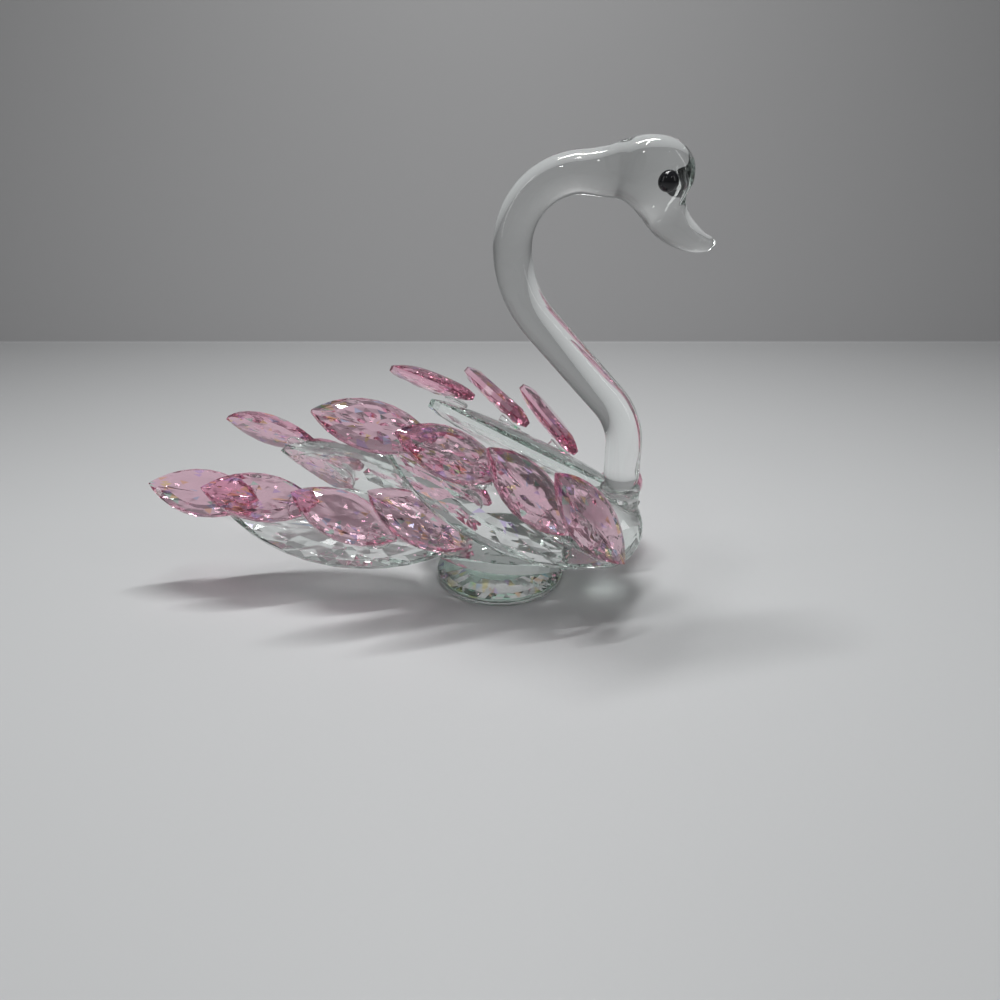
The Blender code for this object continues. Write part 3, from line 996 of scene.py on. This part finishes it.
def buildStage():
    # a profile of floor, quarter bend and wall, carried sideways: the bend's depth is its
    # radius times the sine, and its height the radius times one less the cosine
    turn = math.radians(view["turn"])
    bend, behind, strips = stage["bend"], stage["wallBehind"], stage["strips"]
    angle = np.linspace(0.0, 0.5 * np.pi, stage["bendRings"])
    level = np.zeros(len(stage["ahead"]))
    depth = np.concatenate([stage["ahead"], behind - bend + bend * np.sin(angle), [behind]])
    height = np.concatenate([level, bend * (1.0 - np.cos(angle)), [stage["wallHeight"]]])
    side = np.linspace(-stage["halfWidth"], stage["halfWidth"], strips + 1)
    x = side[None, :] * math.cos(turn) - depth[:, None] * math.sin(turn)
    y = side[None, :] * math.sin(turn) + depth[:, None] * math.cos(turn)
    z = np.broadcast_to(height[:, None], x.shape) - stage["below"]
    points = np.stack([x, y, z], -1).reshape(-1, 3)
    row, step = np.meshgrid(np.arange(len(depth) - 1), np.arange(strips), indexing="ij")
    first = row * (strips + 1) + step
    above = first + strips + 1
    faces = np.stack([first, first + 1, above + 1, above], -1).reshape(-1, 4).tolist()
    mesh = bpy.data.meshes.new("board")
    mesh.from_pydata(points.tolist(), [], faces)
    mesh.polygons.foreach_set("use_smooth", np.ones(len(mesh.polygons), bool))
    mesh.materials.append(boardPaint(turn))
    made = bpy.data.objects.new("board", mesh)
    scene.collection.objects.link(made)


def boardPaint(turn):
    # pale floor with painted shade that darkens it towards the wall, and a wall with painted shade that
    # darkens it upwards
    material, shader, start = newMaterial("pale board")
    place = start.node("ShaderNodeTexCoord").outputs["Object"]
    split = start.node("ShaderNodeSeparateXYZ", None, Vector=place)
    x, y, z = (start.wrap(socket) for socket in split.outputs)
    back = y * math.cos(turn) - x * math.sin(turn)
    # painted shade: the floor darkens towards the wall
    floorShadeShare = (back - stage["paintedShadeFrom"]) / (stage["wallBehind"] - stage["paintedShadeFrom"])
    floor = floorShadeShare.clamped().mix(stage["floor"], stage["farFloorPaintedShade"])
    # painted shade: the wall darkens upwards
    wall = (z / stage["wallRise"]).clamped().mix(stage["wall"], stage["highWallPaintedShade"])
    onWall = (z / stage["seam"]).clamped()
    start.feed(shader.inputs["Base Color"], onWall.mix(floor, wall))
    shader.inputs["Roughness"].default_value = stage["roughness"]
    shader.inputs["Specular IOR Level"].default_value = stage["gloss"]
    return material


# size in metres, place and aim to the right of, behind and above the foot, and watts
lamps = {
    "tubeFront": ((0.42, 0.025), (-0.03, 0.02, 0.80), (0.0, 0.0, 0.05), 1.4),
    "tubeBack": ((0.42, 0.025), (-0.04, 0.15, 0.78), (0.0, 0.0, 0.05), 3.45),
    "leftStrip": ((0.06, 0.7), (-0.75, -0.25, 0.45), (0.0, 0.0, 0.08), 0.45),
    "rightStrip": ((0.05, 0.6), (0.65, -0.35, 0.45), (0.05, 0.0, 0.10), 0.35),
    "sparkLeft": ((0.04, 0.04), (-0.40, -0.55, 0.75), (0.0, 0.0, 0.05), 0.15),
    "sparkRight": ((0.04, 0.04), (0.35, -0.60, 0.70), (0.0, 0.0, 0.05), 0.15),
}


def fromCamera(spot):
    # a place to the camera's right, away from it and up, turned about the foot with it
    turn = math.radians(view["turn"])
    right, away, up = spot
    return np.array([
        right * math.cos(turn) - away * math.sin(turn),
        right * math.sin(turn) + away * math.cos(turn),
        up,
    ])


def addLamp(name, size, place, aim, power):
    # flat lamp whose back points away from its aim, with its width level
    data = bpy.data.lights.new(name, "AREA")
    data.shape = "RECTANGLE"
    data.size, data.size_y = size
    data.energy = power
    lamp = bpy.data.objects.new(name, data)
    back = unit(fromCamera(place) - fromCamera(aim))
    side = unit(np.cross((0.0, 0.0, 1.0), back))
    stand = np.eye(4)
    stand[:3, 0], stand[:3, 1], stand[:3, 2] = side, np.cross(back, side), back
    stand[:3, 3] = fromCamera(place)
    lamp.matrix_world = Matrix(stand.tolist())
    scene.collection.objects.link(lamp)


def lightWorld():
    # the grey that the glass reflects and bends where it doesn't meet the stage
    world = bpy.data.worlds.new("studio")
    world.use_nodes = True
    background = world.node_tree.nodes["Background"]
    background.inputs["Color"].default_value = stage["sky"]
    background.inputs["Strength"].default_value = 1.0
    scene.world = world


buildStage()
lightWorld()
for name, settings in lamps.items():
    addLamp(name, *settings)
print("swan: stage and lamps set")
